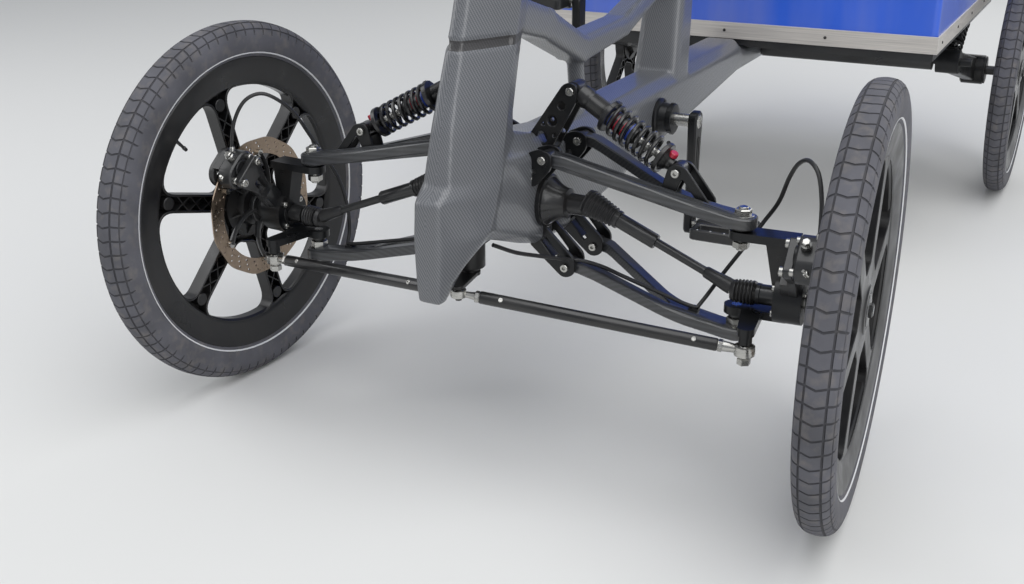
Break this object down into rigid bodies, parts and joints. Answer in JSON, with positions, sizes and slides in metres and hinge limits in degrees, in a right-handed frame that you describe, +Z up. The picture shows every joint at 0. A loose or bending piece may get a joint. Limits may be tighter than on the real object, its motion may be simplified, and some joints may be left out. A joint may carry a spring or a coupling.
{
  "type": "four-wheeled pedal cargo cycle",
  "caption": "Pedal cargo cycle with a carbon spine frame, double wishbone front suspension, driven steered front wheels, a saddle and a closed blue cargo box.",
  "frame": {"origin": "on the ground, midway between the axles, on the vehicle's centre plane", "axes": "+X to the rider's left, -Y to the front, +Z up"},
  "size_m": [0.974, 2.0535, 1.1738],
  "materials": {
    "carbon": "satin carbon twill",
    "black_metal": "satin black anodised",
    "black_plastic": "moulded black",
    "tyre_rubber": "worn road tyre",
    "boot_rubber": "ribbed boot",
    "silver_metal": "brushed",
    "disc_metal": "worn bronze tint",
    "blue_panel": "gloss blue",
    "seat_cover": "grained vinyl",
    "lamp_glass": "clear lens"
  },
  "bodies": {
    "chassis": {"axle_shaft_left": "boot_rubber", "axle_shaft_right": "boot_rubber", "bell_housings": "black_metal", "bottom_bracket": "black_metal", "box_base": "black_plastic", "box_trim": "silver_metal", "brake_hose_left": "boot_rubber", "brake_hose_right": "boot_rubber", "cargo_box": "blue_panel", "front_brackets": "black_metal", "head_lamp": "lamp_glass", "lower_arm_left": "black_metal", "lower_arm_right": "black_metal", "main_frame": "carbon", "rear_arm_left": "black_metal", "rear_arm_right": "black_metal", "seat_back": "seat_cover", "seat_cushion": "seat_cover", "seat_post": "carbon", "shock_front_left": "black_metal", "shock_front_right": "black_metal", "shock_rear_left": "black_metal", "shock_rear_right": "black_metal", "tail_lamps": "lamp_glass", "upper_arm_left": "black_metal", "upper_arm_right": "black_metal", "upper_frame": "carbon"},
    "handlebar": {"handlebar": "black_metal", "grips": "boot_rubber"},
    "relay": {"steering_relay": "black_metal"},
    "crank": {"crank_set": "black_metal"},
    "box_door": {"box_door": "blue_panel"},
    "tie_rod_left": {"tie_rod_left": "black_metal"},
    "knuckle_left": {"knuckle_left": "black_metal", "brake_caliper_left": "black_metal", "brake_loop_left": "boot_rubber"},
    "front_wheel_left": {"tyre_front_left": "tyre_rubber", "rim_front_left": "black_plastic", "hub_front_left": "disc_metal"},
    "rear_wheel_left": {"tyre_rear_left": "tyre_rubber", "rim_rear_left": "black_plastic"},
    "pedal_left": {"pedal_left": "black_plastic"},
    "tie_rod_right": {"tie_rod_right": "black_metal"},
    "knuckle_right": {"knuckle_right": "black_metal", "brake_caliper_right": "black_metal", "brake_loop_right": "boot_rubber"},
    "front_wheel_right": {"tyre_front_right": "tyre_rubber", "rim_front_right": "black_plastic", "hub_front_right": "disc_metal"},
    "rear_wheel_right": {"tyre_rear_right": "tyre_rubber", "rim_rear_right": "black_plastic"},
    "pedal_right": {"pedal_right": "black_plastic"}
  },
  "joints": [
    {"name": "handlebar_turn", "type": "hinge", "parent": "chassis", "child": "handlebar", "pos_m": [0, -0.80827, 0.69483], "axis": [0, 0.3173, 0.9483], "range_deg": [-40, 40]},
    {"name": "relay_turn", "type": "hinge", "parent": "chassis", "child": "relay", "pos_m": [0, -0.879, 0.28], "axis": [0, 0, 1], "range_deg": [-41, 41]},
    {"name": "crank_turn", "type": "hinge", "parent": "chassis", "child": "crank", "pos_m": [0, -0.346, 0.354], "axis": [1, 0, 0], "continuous": true},
    {"name": "tie_rod_left_turn", "type": "hinge", "parent": "relay", "child": "tie_rod_left", "pos_m": [0.012, -0.929, 0.262], "axis": [0, 0, 1], "range_deg": [-41, 41]},
    {"name": "knuckle_left_turn", "type": "hinge", "parent": "chassis", "child": "knuckle_left", "pos_m": [0.307, -0.7729, 0.263], "axis": [0, 0, 1], "range_deg": [-29, 29]},
    {"name": "front_wheel_left_spin", "type": "hinge", "parent": "knuckle_left", "child": "front_wheel_left", "pos_m": [0.445, -0.764, 0.263], "axis": [0.9979, 0.0645, 0], "continuous": true},
    {"name": "rear_wheel_left_spin", "type": "hinge", "parent": "chassis", "child": "rear_wheel_left", "pos_m": [0.461, 0.764, 0.263], "axis": [1, 0, 0], "continuous": true},
    {"name": "pedal_left_spin", "type": "hinge", "parent": "crank", "child": "pedal_left", "pos_m": [0.16, -0.346, 0.186], "axis": [1, 0, 0], "continuous": true},
    {"name": "tie_rod_right_turn", "type": "hinge", "parent": "relay", "child": "tie_rod_right", "pos_m": [-0.012, -0.929, 0.262], "axis": [0, 0, 1], "range_deg": [-41, 41]},
    {"name": "knuckle_right_turn", "type": "hinge", "parent": "chassis", "child": "knuckle_right", "pos_m": [-0.307, -0.7729, 0.263], "axis": [0, 0, 1], "range_deg": [-29, 29]},
    {"name": "front_wheel_right_spin", "type": "hinge", "parent": "knuckle_right", "child": "front_wheel_right", "pos_m": [-0.445, -0.764, 0.263], "axis": [-0.9979, 0.0645, 0], "continuous": true},
    {"name": "rear_wheel_right_spin", "type": "hinge", "parent": "chassis", "child": "rear_wheel_right", "pos_m": [-0.461, 0.764, 0.263], "axis": [-1, 0, 0], "continuous": true},
    {"name": "pedal_right_spin", "type": "hinge", "parent": "crank", "child": "pedal_right", "pos_m": [-0.16, -0.346, 0.522], "axis": [1, 0, 0], "continuous": true},
    {"name": "box_door_swing", "type": "hinge", "parent": "chassis", "child": "box_door", "pos_m": [0.388, 0.938, 0.76], "axis": [0, 0, -1], "range_deg": [0, 115]}
  ],
  "couplings": [
    {"joint": "relay_turn", "follows": "handlebar_turn", "ratio": 1},
    {"joint": "tie_rod_left_turn", "follows": "handlebar_turn", "ratio": -1},
    {"joint": "tie_rod_right_turn", "follows": "handlebar_turn", "ratio": -1},
    {"joint": "knuckle_left_turn", "follows": "handlebar_turn", "ratio": 0.7},
    {"joint": "knuckle_right_turn", "follows": "handlebar_turn", "ratio": 0.7}
  ]
}
